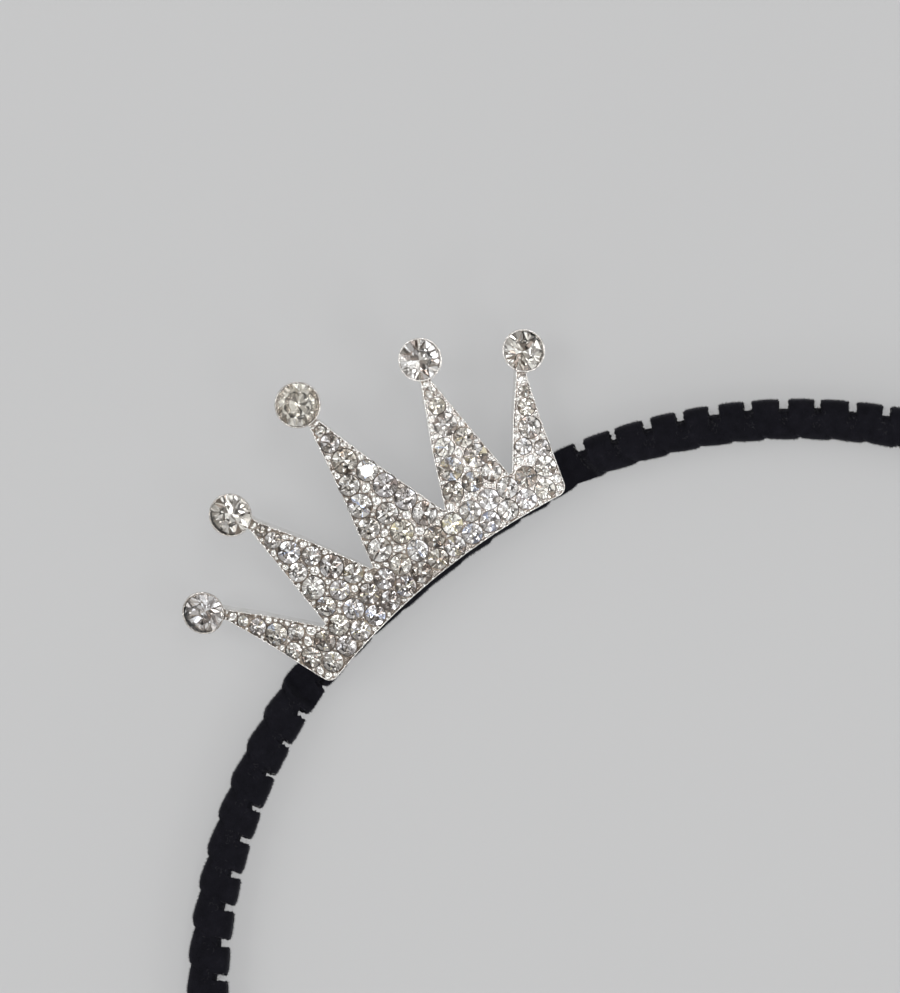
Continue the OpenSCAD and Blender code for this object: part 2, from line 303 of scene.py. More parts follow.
# Floor, world and lights
studio = {
    "floorSize": 3.0,
    "floorColour": (0.210, 0.211, 0.213),
    "floorDapple": 0.985,      # its darkest patches, as a share of its colour
    "floorPatches": 9.0,       # scale of the noise that lays them
    "floorGlow": 0.356,
    # the room as metal and stones mirror it, from its dark corners to its windows
    "roomTones": [
        (0.395, (0.062, 0.055, 0.050)),
        (0.455, (0.26, 0.245, 0.235)),
        (0.525, (0.52, 0.51, 0.49)),
        (0.590, (0.80, 0.80, 0.78)),
        (1.000, (1.70, 1.72, 1.75)),
    ],
    "roomEdge": 0.008,         # how soft the edge of a patch is
    "roomPatches": 2.6,
    "backdropColour": (0.56, 0.565, 0.575),
    "lampDistance": 0.9,
    # name, turn round the object, angle from straight above, width, height, watts
    "lamps": [
        ("windowLamp", -35, 40, 0.34, 0.44, 1.45),
        ("fillLamp", 150, 46, 0.26, 0.22, 0.65),
        ("sideLamp", 66, 36, 0.10, 0.28, 0.45),
        ("rimLamp", -115, 58, 0.22, 0.12, 0.45),
        ("rightLamp", 84, 18, 0.17, 0.24, 0.04),      # mirrored by the metal of the right tines
    ],
    # small lamps overhead make the stones sparkle
    "sparkLamps": 9,
    "sparkStray": 0.3,         # how far one strays from its even place in the ring, in places
    "sparkFall": (9, 33),
    "sparkSize": 0.032,
    "sparkWatts": 0.09,
    "seed": 3,
}


def hangLamp(name, middle, away, watts, wide, tall=None):
    # an area lamp that looks at the middle from the direction away; one without a height is round
    data = bpy.data.lights.new(name, "AREA")
    data.shape = "RECTANGLE" if tall else "DISK"
    data.size, data.energy = wide, watts
    if tall:
        data.size_y = tall
    lamp = addObject(name, data)
    lamp.location = middle + away * studio["lampDistance"]
    lamp.rotation_euler = away.to_track_quat("Z", "Y").to_euler()
    lamp.visible_camera = False


def hangRound(name, turn, fall, wide, tall, watts):
    # a lamp placed by its turn round the object and its angle from straight above, in degrees
    turn, fall = math.radians(turn), math.radians(fall)
    away = Vector((math.sin(turn) * math.sin(fall), math.cos(turn) * math.sin(fall), math.cos(fall)))
    hangLamp(name, Vector(), away, watts, wide, tall)


def makeLamps():
    for lamp in studio["lamps"]:
        hangRound(*lamp)
    rng = np.random.default_rng(studio["seed"])
    count, size, stray = studio["sparkLamps"], studio["sparkSize"], studio["sparkStray"]
    for i in range(count):
        turn = 360 * (i + rng.uniform(-stray, stray)) / count
        fall = rng.uniform(*studio["sparkFall"])
        hangRound(f"sparkLamp{i + 1}", turn, fall, size, size, studio["sparkWatts"])


def makeFloor():
    half = studio["floorSize"] / 2
    corners = [(-half, -half, 0), (half, -half, 0), (half, half, 0), (-half, half, 0)]
    floor = meshObject("floor", corners, [(0, 1, 2, 3)])
    colour = studio["floorColour"]
    material, tree, shader = newMaterial("palePaper", {
        "Roughness": 0.85, "Emission Strength": studio["floorGlow"] / colour[1]})
    low = tuple(studio["floorDapple"] * c for c in colour)
    patches = noiseOn(tree, studio["floorPatches"], detail=4.0)
    tone = colourRamp(tree, patches, [(0.3, low), (0.7, colour)])
    setInputs(shader, {"Base Color": tone, "Emission Color": tone})
    floor.data.materials.append(material)


def makeWorld():
    # a room of soft light and dark patches to reflect, and a plain pale backdrop behind the object
    world = bpy.data.worlds.new("room")
    world.use_nodes = True
    tree = world.node_tree
    # every tone is level up to its own place, and then the next one takes over
    stops, start = [], 0.0
    for end, tone in studio["roomTones"]:
        stops += [(start + studio["roomEdge"], tone), (end, tone)]
        start = end
    patches = noiseOn(tree, studio["roomPatches"], detail=2.0, roughness=0.6, space="Generated")
    room = tree.nodes["Background"]
    setInputs(room, {"Color": colourRamp(tree, patches, stops)})
    backdrop = addNode(tree, "ShaderNodeBackground", {"Color": (*studio["backdropColour"], 1)})
    mix = addNode(tree, "ShaderNodeMixShader", {
        "Fac": addNode(tree, "ShaderNodeLightPath").outputs["Is Camera Ray"],
        1: room.outputs["Background"], 2: backdrop.outputs["Background"]})
    setInputs(tree.nodes["World Output"], {"Surface": mix.outputs["Shader"]})
    bpy.context.scene.world = world


makeFloor()
makeLamps()
makeWorld()
bpy.context.scene.view_settings.view_transform = "Standard"
print("studio made")

# The wound band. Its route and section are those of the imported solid
winding = {
    "arcs": [(95, 10.5), (25, 6.7), (63, 72.8), (150, 22)],   # radius in mm, turn in degrees
    "leftTurns": 39,                 # on each side of the one in the middle
    "rightTurns": 42,
    "thickness": 4.3 * mm,
    "depth": 5.0 * mm,
    "flat": 0.15 * mm,               # cut off the back of the section, which the band lies on
    "cornerRadius": 1.4 * mm,
    "around": 60,                    # points round the section
    "notchSwing": 16 * mm,           # this far from the crown's middle the notches are at the edge
    "notchDepth": 1.05 * mm,
    "notchHalfAngle": 55,            # degrees round the section that a notch runs straight for
    "notchFade": (0.12, 0.52),       # it ends between these cosines of the angle from its middle
    "notchFrom": 0.05,               # a row this deep, as a share, is in a notch
    "deeperBehind": (0.35, 0.0),     # how much deeper a notch is at the back, left and right
    "ragged": (0.045, 0.15),         # how far its walls stray, in turns and as a share of its depth
    "roundedEnd": (0.42 * mm, 0.30),      # left turns round off before a notch: how far, over what share
    "leanBack": (0.26, 0.10),        # turns that the winding moves on from front to back
    "leanFade": 1.5,                 # turns at each end over which it stops leaning
    "belly": 0.26 * mm,              # how far the velvet bulges out below the crown
    "bellyMiddle": 5 * mm,
    "bellyEnds": (10 * mm, 14 * mm),      # whole this near its middle, and gone this far from it
    "dome": 0.05 * mm,               # how much higher a turn is in its middle than at its creases
    "frontCrease": 0.05 * mm,
    "farCrease": 0.13 * mm,          # a crease on the side away from its notch
    "farFade": (0.25, 0.85),         # that side begins between these cosines
    "farStep": (0.42 * mm, 0.16 * mm),    # how far a turn stands over the next there, left and right
    # how far single creases stray: width of the notch, place in turns, depths of the crease and of
    # the notch, and the step over the next turn, all but the place as shares
    "strays": (0.25, 0.03, 0.30, 0.12, 0.25),
    "capReach": 1.9 * mm,
    "capRings": [(0.35, 0.93), (0.75, 0.70), (0.95, 0.38)],    # shares of the reach and of the width
    "thinInNotch": 0.5,              # the share of the pile that a notch's floor lacks
    "thinFade": (0.50, 0.75),        # between these cosines
    "seed": 7,
    # one turn from the middle of a crease to the middle of the turn: place in a crease, place in a
    # notch on the left and on the right, share of the depth
    "rows": [
        (0.000, 0.000, 0.000, 1.00),
        (0.030, 0.085, 0.110, 1.00),
        (0.055, 0.122, 0.150, 0.93),
        (0.080, 0.138, 0.166, 0.66),
        (0.105, 0.126, 0.160, 0.34),
        (0.130, 0.110, 0.148, 0.12),
        (0.160, 0.120, 0.156, 0.02),
        (0.215, 0.178, 0.200, 0.00),
        (0.290, 0.276, 0.284, 0.00),
        (0.390, 0.390, 0.390, 0.00),
        (0.500, 0.500, 0.500, 0.00),
    ],
}


def routeTable():
    # (x, y, heading, length) where each arc starts
    starts = [(0.0, 0.0, 0.0, 0.0)]
    for radius, turn in winding["arcs"]:
        x, y, heading, length = starts[-1]
        a, b, r = math.radians(heading), math.radians(heading + turn), radius * mm
        starts.append((x + r * (math.sin(b) - math.sin(a)), y + r * (math.cos(b) - math.cos(a)),
                       heading + turn, length + r * (b - a)))
    return starts


arcStarts = routeTable()
halfLength = arcStarts[-1][3]
leftPitch = halfLength / (winding["leftTurns"] + 0.5)
rightPitch = halfLength / (winding["rightTurns"] + 0.5)


def wound(place):
    # distance along the route of a place counted in turns from the middle one
    return place * np.where(place < 0, leftPitch, rightPitch)


def route(s):
    # place and heading on the band's middle line, for an array of distances from the crown
    far = np.abs(s)
    side = np.where(s < 0, -1.0, 1.0)
    x, y, heading = np.zeros_like(far), np.zeros_like(far), np.zeros_like(far)
    for (x0, y0, turn0, s0), (radius, _) in zip(arcStarts, winding["arcs"]):
        here, r, start = far >= s0, radius * mm, math.radians(turn0)
        turned = start + (far - s0) / r
        x = np.where(here, x0 + r * (np.sin(turned) - math.sin(start)), x)
        y = np.where(here, y0 + r * (np.cos(turned) - math.cos(start)), y)
        heading = np.where(here, turned, heading)
    return side * x, y, side * heading


def eased(share):
    share = np.clip(share, 0, 1)
    return share * share * (3 - 2 * share)


def rising(value, limits):
    # 0 up to the first limit, 1 from the second one on, and smooth between them
    return eased((value - limits[0]) / (limits[1] - limits[0]))


def mixed(pair, share):
    return pair[0] + (pair[1] - pair[0]) * share


def bandSection():
    # (outwards, up) round the section, corners rounded, from the front by the outer edge
    w = winding
    halfWide, halfDeep = w["thickness"] / 2, (w["depth"] + w["flat"]) / 2
    angle = np.linspace(0, 2 * math.pi, w["around"], endpoint=False)
    flatWide, flatDeep = halfWide - w["cornerRadius"], halfDeep - w["cornerRadius"]
    # points of a square, pushed out to the section, keep the steps even
    out, up = np.sin(angle), np.cos(angle)
    reach = 1 / np.maximum(np.abs(out), np.abs(up))
    squareOut, squareUp = out * reach * halfWide, up * reach * halfDeep
    nearOut = np.clip(squareOut, -flatWide, flatWide)
    nearUp = np.clip(squareUp, -flatDeep, flatDeep)
    away = np.stack([squareOut - nearOut, squareUp - nearUp])
    away = away / np.maximum(np.hypot(*away), 1e-9) * w["cornerRadius"]
    return nearOut + away[0], nearUp + away[1]


def windingRows():
    # every row along the band: (turn number, place in a crease, in a notch left and right, depth)
    first = winding["rows"]
    back = [(1 - a, 1 - b, 1 - c, d) for a, b, c, d in reversed(first[:-1])]
    one = first + back[:-1]
    rows = []
    for turn in range(-winding["leftTurns"], winding["rightTurns"] + 1):
        rows += [(turn, a - 0.5, b - 0.5, c - 0.5, d) for a, b, c, d in one]
    rows.append((winding["rightTurns"], 0.5, 0.5, 0.5, 1.0))
    # the two ends have no crease: they close in a rounded cap
    start = next(i for i, row in enumerate(rows) if row[4] == 0.0)
    return np.array(rows[start:len(rows) - start])


def windingGrid():
    # what the winding's points share: rows run along the band and columns round its section
    w = winding
    rng = np.random.default_rng(w["seed"])
    out, up = bandSection()
    turn, inTurn, leftNotch, rightNotch, depth = windingRows().T[:, :, None]
    # the notches turn round the back, from the inner edge on the left to the outer edge on the right
    side = np.clip(wound(turn + inTurn) / w["notchSwing"], -1, 1)
    rightShare = (side + 1) / 2
    notchAngle = math.pi - math.pi / 2 * side
    angle = np.arctan2(out, up) - notchAngle
    facing = np.cos(angle)                 # 1 in the middle of the notch, -1 at its far side
    notchShare = rising(facing, w["notchFade"])
    # each crease has its own strays, which the turns on its two sides share
    crease = np.rint(turn + inTurn + 0.5).astype(int) + w["leftTurns"]
    strays = rng.uniform(-1, 1, (len(w["strays"]), w["leftTurns"] + w["rightTurns"] + 2))[:, crease]
    frayed = rng.uniform(-1, 1, (2, *facing.shape)) * notchShare * (depth > w["notchFrom"])
    return SimpleNamespace(
        out=out, up=up, turn=turn, inTurn=inTurn, depth=depth, side=side, rightShare=rightShare,
        notchAngle=notchAngle, angle=angle, facing=facing, notchShare=notchShare, frayed=frayed,
        notchPlace=mixed((leftNotch, rightNotch), rightShare), farShare=rising(-facing, w["farFade"]),
        lower=(1 - up / up.max()) / 2,     # 0 at the front and 1 at the back
        strays=[most * stray for most, stray in zip(w["strays"], strays)])


def leanShare(angle):
    # how far a crease has moved on at an angle away from its notch, in turns
    away = np.degrees(np.arccos(np.cos(angle)))
    straight = winding["notchHalfAngle"]
    past = np.clip((away - straight) / (180 - straight), 0, 1)
    return (1 - np.cos(math.pi * past)) / 4


def windingPlace(g):
    # where along the band every point is, in turns from the middle
    w = winding
    wider, shift = 1 + g.strays[0], g.strays[1]
    before, after = -0.5 + (g.notchPlace + 0.5) * wider, 0.5 - (0.5 - g.notchPlace) * wider
    inNotch = np.where(g.depth > 0, np.where(g.inTurn < 0, before, after), g.inTurn)
    place = g.turn + g.inTurn + (inNotch - g.inTurn) * g.notchShare + leanShare(g.angle)
    place = place + shift * (1 - 2 * np.abs(np.abs(g.inTurn) - 0.5)) + w["ragged"][0] * g.frayed[0]
    toEnd = np.where(g.side < 0, w["leftTurns"] + g.turn + g.inTurn, w["rightTurns"] - g.turn - g.inTurn)
    return place + mixed(w["leanBack"], g.rightShare) * g.side * g.lower * eased(toEnd / w["leanFade"])


def windingCuts(g):
    # how far every point is drawn in towards the section's middle, and how deep its notch is
    w = winding
    _, _, creaseStray, notchStray, stepStray = g.strays
    crease = mixed((w["frontCrease"], w["farCrease"]), g.farShare) * (1 + creaseStray)
    swell = w["dome"] * (1 + np.cos(2 * math.pi * g.inTurn)) / 2
    step = mixed(w["farStep"], g.rightShare)
    awayFromCrown = np.where(g.side < 0, -g.inTurn, g.inTurn)
    overlap = step * (0.5 - eased(awayFromCrown + 0.5)) * g.farShare * (1 + stepStray)
    cut = g.depth * crease + w["dome"] - swell + np.maximum(overlap, -step / 2)
    behind = mixed(w["deeperBehind"], g.rightShare) * g.lower
    notch = g.depth * w["notchDepth"] * (1 + notchStray) * (1 + behind)
    notch = notch * (1 + w["ragged"][1] * g.frayed[1])
    roundDeep, roundShare = w["roundedEnd"]
    rounded = np.clip(1 - (g.inTurn + 0.5) / roundShare, 0, 1) ** 2 * (1 - g.depth) * (1 - g.rightShare)
    return cut, notch + roundDeep * rounded


def pressedHeight(x, z):
    # the velvet's height at x, with the plate pressed on it
    back = plate["axisHeight"] + np.sqrt((plate["faceRadius"] - plate["thickness"]) ** 2 - x ** 2)
    pressed = np.minimum(z, back - plate["velvetGap"])
    return z + (pressed - z) * eased(1 + (plate["pressedHalf"] - np.abs(x)) / plate["pressFade"])


def windingMesh():
    # the band's points and faces, and for each point how freely the pile stands there
    w, g = winding, windingGrid()
    along = wound(windingPlace(g))
    cut, notch = windingCuts(g)
    left = 1 - cut / np.hypot(g.out, g.up)
    # a notch presses the section together along its own direction
    toOut, toUp = np.sin(g.notchAngle), np.cos(g.notchAngle)
    full = np.abs(toOut) * g.out.max() + np.abs(toUp) * g.up.max()
    pressed = np.maximum(0, g.out * toOut + g.up * toUp) * notch / full
    across = (g.out - toOut * pressed) * left
    near, far = w["bellyEnds"]
    bulge = w["belly"] * eased((far - np.abs(along - w["bellyMiddle"])) / (far - near))
    across = across * np.where(g.out < 0, 1 + bulge / g.out.max(), 1)
    sectionMiddle = w["depth"] - (w["depth"] + w["flat"]) / 2
    z = np.maximum(0, sectionMiddle + (g.up - toUp * pressed) * left)
    x, y, heading = route(along)
    x, y = x + across * np.sin(heading), y + across * np.cos(heading)
    points, faces = closeGrid(np.stack([x, y, pressedHeight(x, z)], -1), sectionMiddle)
    thinned = w["thinInNotch"] * rising(g.facing, w["thinFade"]) * (g.depth > w["notchFrom"])
    # the caps' rings lie before and after the grid, and their two end points come last
    capPoints = len(w["capRings"]) * w["around"]
    return points, faces, np.pad((1 - thinned).ravel(), (capPoints, capPoints + 2), constant_values=1)


def closeGrid(grid, middleHeight):
    # caps both ends with shrinking rings and a point, and welds the rows into faces
    def cap(ring, outward):
        centre = ring.mean(0)
        centre[2] = middleHeight
        rings = []
        for along, share in winding["capRings"]:
            rings.append(centre + (ring - centre) * share + outward * along * winding["capReach"])
            rings[-1][:, 2] = np.maximum(0, rings[-1][:, 2])
        return rings, centre + outward * winding["capReach"]

    startOut = grid[0].mean(0) - grid[1].mean(0)
    endOut = grid[-1].mean(0) - grid[-2].mean(0)
    startOut[2] = endOut[2] = 0
    startRings, startPoint = cap(grid[0], startOut / np.linalg.norm(startOut))
    endRings, endPoint = cap(grid[-1], endOut / np.linalg.norm(endOut))
    rings = np.concatenate([np.array(startRings[::-1]), grid, np.array(endRings)])
    rows, n = rings.shape[:2]
    i, j = np.meshgrid(np.arange(rows - 1), np.arange(n), indexing="ij")
    a, b = i * n + j, i * n + (j + 1) % n
    faces = np.stack([a, a + n, b + n, b], -1).reshape(-1, 4).tolist()
    points = np.concatenate([rings.reshape(-1, 3), [startPoint, endPoint]])
    faces += [(rows * n, j, (j + 1) % n) for j in range(n)]
    faces += [(rows * n + 1, (rows - 1) * n + (j + 1) % n, (rows - 1) * n + j) for j in range(n)]
    return points, faces


velvetLook = {
    "shader": {
        "Roughness": 0.95, "Specular IOR Level": 0.12,
        "Sheen Weight": 0.12, "Sheen Roughness": 0.35, "Sheen Tint": (0.5, 0.5, 0.6, 1)},
    "patches": 900.0,          # scale of the noise that tones it
    "tones": [
        (0.25, (0.0042, 0.0042, 0.0066)), (0.62, (0.0080, 0.0078, 0.0118)),
        (0.85, (0.016, 0.0155, 0.021))],
    "nap": 5200.0,             # scale of the noise that roughens it
    "napStrength": 0.6,
    "napHeight": 0.06 * mm,
}


def velvetMaterial():
    look = velvetLook
    material, tree, shader = newMaterial("blackVelvet", look["shader"])
    tone = colourRamp(tree, noiseOn(tree, look["patches"], roughness=0.6), look["tones"])
    nap = noiseOn(tree, look["nap"], detail=2.0, roughness=0.7)
    rough = bumped(tree, nap, look["napStrength"], look["napHeight"])
    setInputs(shader, {"Base Color": tone, "Normal": rough})
    return material


velvet = velvetMaterial()


def makeBand():
    points, faces, standing = windingMesh()
    band = meshObject("woundVelvet", points, faces)
    band.data.attributes.new("standing", "FLOAT", "POINT").data.foreach_set("value", standing)
    with edited(band.data) as shape:
        bmesh.ops.recalc_face_normals(shape, faces=shape.faces)
    band.data.shade_smooth()
    band.data.materials.append(velvet)
    return band


# The velvet's pile: short tapering fibres that stand on the ribbon
pile = {
    "perSquareMm": 17.0,
    "length": 0.24 * mm,
    "sizes": (0.55, 1.15),     # of the smallest and the largest fibre, as shares
    "foot": 0.024 * mm,
    "lean": 0.55,              # at most, in radians
    "spin": 3,                 # times as much round itself
    "lowest": 0.8 * mm,        # none stands below this height, so none reaches the surface
    "seed": 11,
}


def pileTree():
    tree, given, leave = makeTree(
        "standPile", Density="Float", Length="Float", Smallest="Float", Largest="Float", Foot="Float",
        Lean="Float", Lowest="Float", Seed="Int", Material="Material")
    position = addNode(tree, "GeometryNodeInputPosition").outputs["Position"]
    height = addNode(tree, "ShaderNodeSeparateXYZ", {"Vector": position}).outputs["Z"]
    high = addNode(tree, "FunctionNodeCompare", {"A": height, "B": given["Lowest"]},
                   data_type="FLOAT", operation="GREATER_THAN")
    spread = addNode(tree, "GeometryNodeDistributePointsOnFaces", {
        "Mesh": given["Geometry"], "Selection": high.outputs["Result"], "Seed": given["Seed"],
        "Density": calculated(tree, "MULTIPLY", given["Density"], namedValue(tree, "standing"))})
    fibre = addNode(tree, "GeometryNodeMeshCone", {
        "Vertices": 3, "Radius Top": 0.0, "Radius Bottom": given["Foot"], "Depth": given["Length"]})
    most = Vector((1, 1, pile["spin"]))
    lean = addNode(tree, "FunctionNodeRandomValue", {"Min": -most, "Max": most, "Seed": given["Seed"]},
                   data_type="FLOAT_VECTOR").outputs["Value"]
    scaled = addNode(tree, "ShaderNodeVectorMath", {"Vector": lean, "Scale": given["Lean"]},
                     operation="SCALE")
    turned = turnedBy(tree, spread.outputs["Rotation"], asTurn(tree, scaled.outputs["Vector"]))
    size = randomBetween(tree, given["Smallest"], given["Largest"], given["Seed"])
    fibres = standOn(tree, spread.outputs["Points"], fibre.outputs["Mesh"], turned, size)
    return finishTree(leave, painted(tree, fibres, given["Material"]))


def halfOf(source, name, left):
    # a copy of the band with only the faces on one side of the middle
    base = addObject(name, source.data.copy())
    with edited(base.data) as shape:
        gone = [f for f in shape.faces if (f.calc_center_median().x > 0) == left]
        bmesh.ops.delete(shape, geom=gone, context="FACES")
    return base


def layPile(band, tree, name, left):
    smallest, largest = pile["sizes"]
    values = {"Density": pile["perSquareMm"] / mm ** 2, "Length": pile["length"], "Foot": pile["foot"],
              "Smallest": smallest, "Largest": largest, "Lean": pile["lean"], "Lowest": pile["lowest"],
              "Seed": pile["seed"], "Material": velvet}
    piece = runTree(halfOf(band, name + "Base", left), tree, values, name)
    print(name, len(piece.data.polygons), "faces")
    return piece


band = makeBand()
standPile = pileTree()
pilePieces = [layPile(band, standPile, "pileLeft", True), layPile(band, standPile, "pileRight", False)]
dress(band, "velvet", "velvet_band")
for piece in pilePieces:
    dress(piece, "velvet")

# Lint: grey curls of fibre on the front in line with each notch, and pale frayed ends in it. The grey
# curls are partly real fibre and partly a painted highlight: the sheen that the bunched velvet catches
# in each groove
front = winding["depth"]
notchFloor = winding["thickness"] / 2 - winding["notchDepth"]
lint = {
    "wire": 0.012 * mm,
    "wireSides": 3,
    "radius": (0.08 * mm, 0.22 * mm),
    "curl": 150,               # degrees that a fibre bends round
    "tumble": 0.35,            # how far a curl lies from flat, in radians
    "clearOfCrown": 19 * mm,
    "darkest": 0.6,            # its darkest patches, as a share of its colour
    "patches": 1500.0,         # scale of the noise that lays them
    "seed": 17,
    # for each kind how many a notch has, between which distances from the band's middle towards the
    # notch, between which heights, and how far they stray along the band, in turns
    "kinds": {
        # grey fibres whose grey is partly a painted highlight of the sheen in the groove
        "greyLint": {
            "colour": (0.050, 0.049, 0.055), "perNotch": 11, "across": (-0.8 * mm, notchFloor),
            "height": (front - 0.02 * mm, front + 0.10 * mm), "stray": 0.13},
        "paleLint": {
            "colour": (0.60, 0.60, 0.59), "perNotch": 7,
            "across": (notchFloor, winding["thickness"] / 2 - 0.25 * mm),
            "height": (front - 2.6 * mm, front - 0.4 * mm), "stray": 0.07},
    },
}


def lintMaterial(name, colour):
    shaded = tuple(lint["darkest"] * c for c in colour)
    patches = {"scale": lint["patches"], "detail": 2.0}
    return tonedMaterial(name, patches, [(0.3, shaded), (0.7, colour)], {"Roughness": 0.8})


def curlTree():
    # an open curl of fibre at each place, turned and sized by its own values
    tree, given, leave = makeTree("layCurls", Wire="Float", Bend="Float", Material="Material")
    curl = addNode(tree, "GeometryNodeCurveArc", {
        "Resolution": 6, "Radius": 1.0, "Sweep Angle": given["Bend"]}).outputs["Curve"]
    turned = asTurn(tree, namedValue(tree, "turned", "FLOAT_VECTOR"))
    curls = standOn(tree, given["Geometry"], curl, turned, namedValue(tree, "radius"))
    fibres = sweepWire(tree, curls, given["Wire"], lint["wireSides"], caps=True)
    return finishTree(leave, painted(tree, fibres, given["Material"]))


def layLint(name, kind, seed):
    rng = np.random.default_rng(seed)
    creases = np.arange(-winding["leftTurns"], winding["rightTurns"]) + 0.5
    creases = creases[np.abs(wound(creases)) > lint["clearOfCrown"]]
    places = np.repeat(creases, rng.poisson(kind["perNotch"], len(creases)))
    n = len(places)
    x, y, heading = route(wound(places + rng.normal(0, kind["stray"], n)))
    across = rng.uniform(*kind["across"], n) * np.sign(places)
    z = rng.uniform(*kind["height"], n)
    points = np.stack([x + across * np.sin(heading), y + across * np.cos(heading), z], -1)
    tumbled = [rng.normal(0, lint["tumble"], n) for _ in range(2)]
    turned = np.stack([*tumbled, rng.uniform(0, 2 * math.pi, n)], -1)
    cloud = pointCloud(name + "Places", points, turned=turned, radius=rng.uniform(*lint["radius"], n))
    values = {"Wire": lint["wire"], "Bend": math.radians(lint["curl"]),
              "Material": lintMaterial(name + "Fibre", kind["colour"])}
    return dress(runTree(cloud, layCurls, values, name), "velvet")


layCurls = curlTree()
for number, (name, kind) in enumerate(lint["kinds"].items()):
    layLint(name, kind, lint["seed"] + number)
print("band wound:", len(band.data.polygons), "faces")


# Stones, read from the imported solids: each loose part gives a centre, an axis and a width

def looseParts(mesh):
    places = np.array([v.co for v in mesh.vertices])
    _, same = np.unique(np.round(places / sameSpot).astype(np.int64), axis=0, return_inverse=True)
    same = same.ravel()
    parent = list(range(same.max() + 1))

    def find(i):
        while parent[i] != i:
            parent[i] = parent[parent[i]]
            i = parent[i]
        return i

    for polygon in mesh.polygons:
        first, *others = (find(same[v]) for v in polygon.vertices)
        for other in others:
            parent[other] = first
    groups = {}
    for vertex, key in enumerate(same):
        groups.setdefault(find(key), {})[key] = places[vertex]
    return [np.array(list(group.values())) for group in groups.values()]


def readStone(points):
    # the girdle's points are the farthest from the middle of a cut stone
    girdlePoints = 16
    far = np.linalg.norm(points - points.mean(0), axis=1)
    girdle = points[np.argsort(far)[-girdlePoints:]]
    centre = girdle.mean(0)
    axis = np.linalg.svd(girdle - centre)[2][2]
    axis = axis * np.sign(axis[2])
    return centre, axis, 2 * np.linalg.norm(girdle - centre, axis=1).mean()


paveStones = [readStone(part) for part in looseParts(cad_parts["pave_stones"].data)]
tipNames = sorted(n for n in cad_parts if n.startswith("tip_stone"))
tipStones = {n: readStone(looseParts(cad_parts[n].data)[0]) for n in tipNames}
print("stones read:", len(paveStones), "paved and", len(tipStones), "at the tips")

# Cut stones of width 1 with the girdle at height 0: shares of the width
cuts = {
    "paved": {
        "table": 0.60, "tableHeight": 0.150, "girdle": 0.078, "pavilion": 0.425, "kiteTop": 0.72,
        "split": False},
    "tip": {
        "table": 0.56, "tableHeight": 0.160, "girdle": 0.040, "pavilion": 0.415, "kiteTop": 0.66,
        "split": True},
    "middleTip": {
        "table": 0.66, "tableHeight": 0.120, "girdle": 0.040, "pavilion": 0.420, "kiteTop": 0.50,
        "split": True},
}


def ringPoints(points, width, height, count, shift=0.0):
    # adds a ring of points and returns the number of its first one; height may be a short cycle
    first = len(points)
    for i in range(count):
        turn = 2 * math.pi * (i + shift) / count
        points.append((width / 2 * math.cos(turn), width / 2 * math.sin(turn), height[i % len(height)]))
    return first


def cutStone(cut):
    # table and eight flat crown facets; below the girdle eight kites between eight facets, or
    # sixteen where they are split, that run down it by the share kiteTop
    n = 8
    chord = math.cos(math.pi / n)
    half = cut["girdle"] / 2
    fall = (cut["tableHeight"] - half) * (1 / chord - 1) / (1 - cut["table"])
    reach = 1 - cut["kiteTop"]
    kiteHeight = -cut["pavilion"] + (cut["pavilion"] - half) * reach * chord
    rise = 0 if cut["split"] else (-half - kiteHeight) * (1 - chord) / (chord - reach)
    points = []
    table = ringPoints(points, cut["table"], [cut["tableHeight"]], n)
    upper = ringPoints(points, 1.0, [half, half - fall], 2 * n)
    lower = ringPoints(points, 1.0, [-half, rise - half], 2 * n)
    kites = ringPoints(points, reach, [kiteHeight], n, 0.5)
    culet = len(points)
    points.append((0, 0, -cut["pavilion"]))
    crownFaces, pavilionFaces = [[table + i for i in range(n)]], []
    for i in range(n):
        j = (i + 1) % n
        a, b, c = 2 * i, 2 * i + 1, 2 * j
        crownFaces.append([table + i, upper + a, upper + b, upper + c, table + j])
        crownFaces += [[upper + p, lower + p, lower + q, upper + q] for p, q in ((a, b), (b, c))]
        if cut["split"]:
            pavilionFaces += [[kites + i, lower + b, lower + a], [kites + i, lower + c, lower + b]]
        else:
            pavilionFaces.append([kites + i, lower + c, lower + b, lower + a])
        pavilionFaces.append([culet, kites + i, lower + c, kites + j])
    return points, crownFaces, pavilionFaces


def stoneHalf(name, faces, points):
    # one half of a cut stone, its faces turned away from a place just below the girdle's middle
    half = meshObject(name, points, faces)
    below = Vector((0, 0, -0.05))
    with edited(half.data) as shape:
        bmesh.ops.delete(shape, geom=[v for v in shape.verts if not v.link_faces], context="VERTS")
        for face in shape.faces:
            if face.normal.dot(face.calc_center_median() - below) < 0:
                face.normal_flip()
    return half


def cutHalves(cut):
    points, crown, pavilion = cutStone(cut)
    return [stoneHalf("stoneCrown", crown, points), stoneHalf("stonePavilion", pavilion, points)]


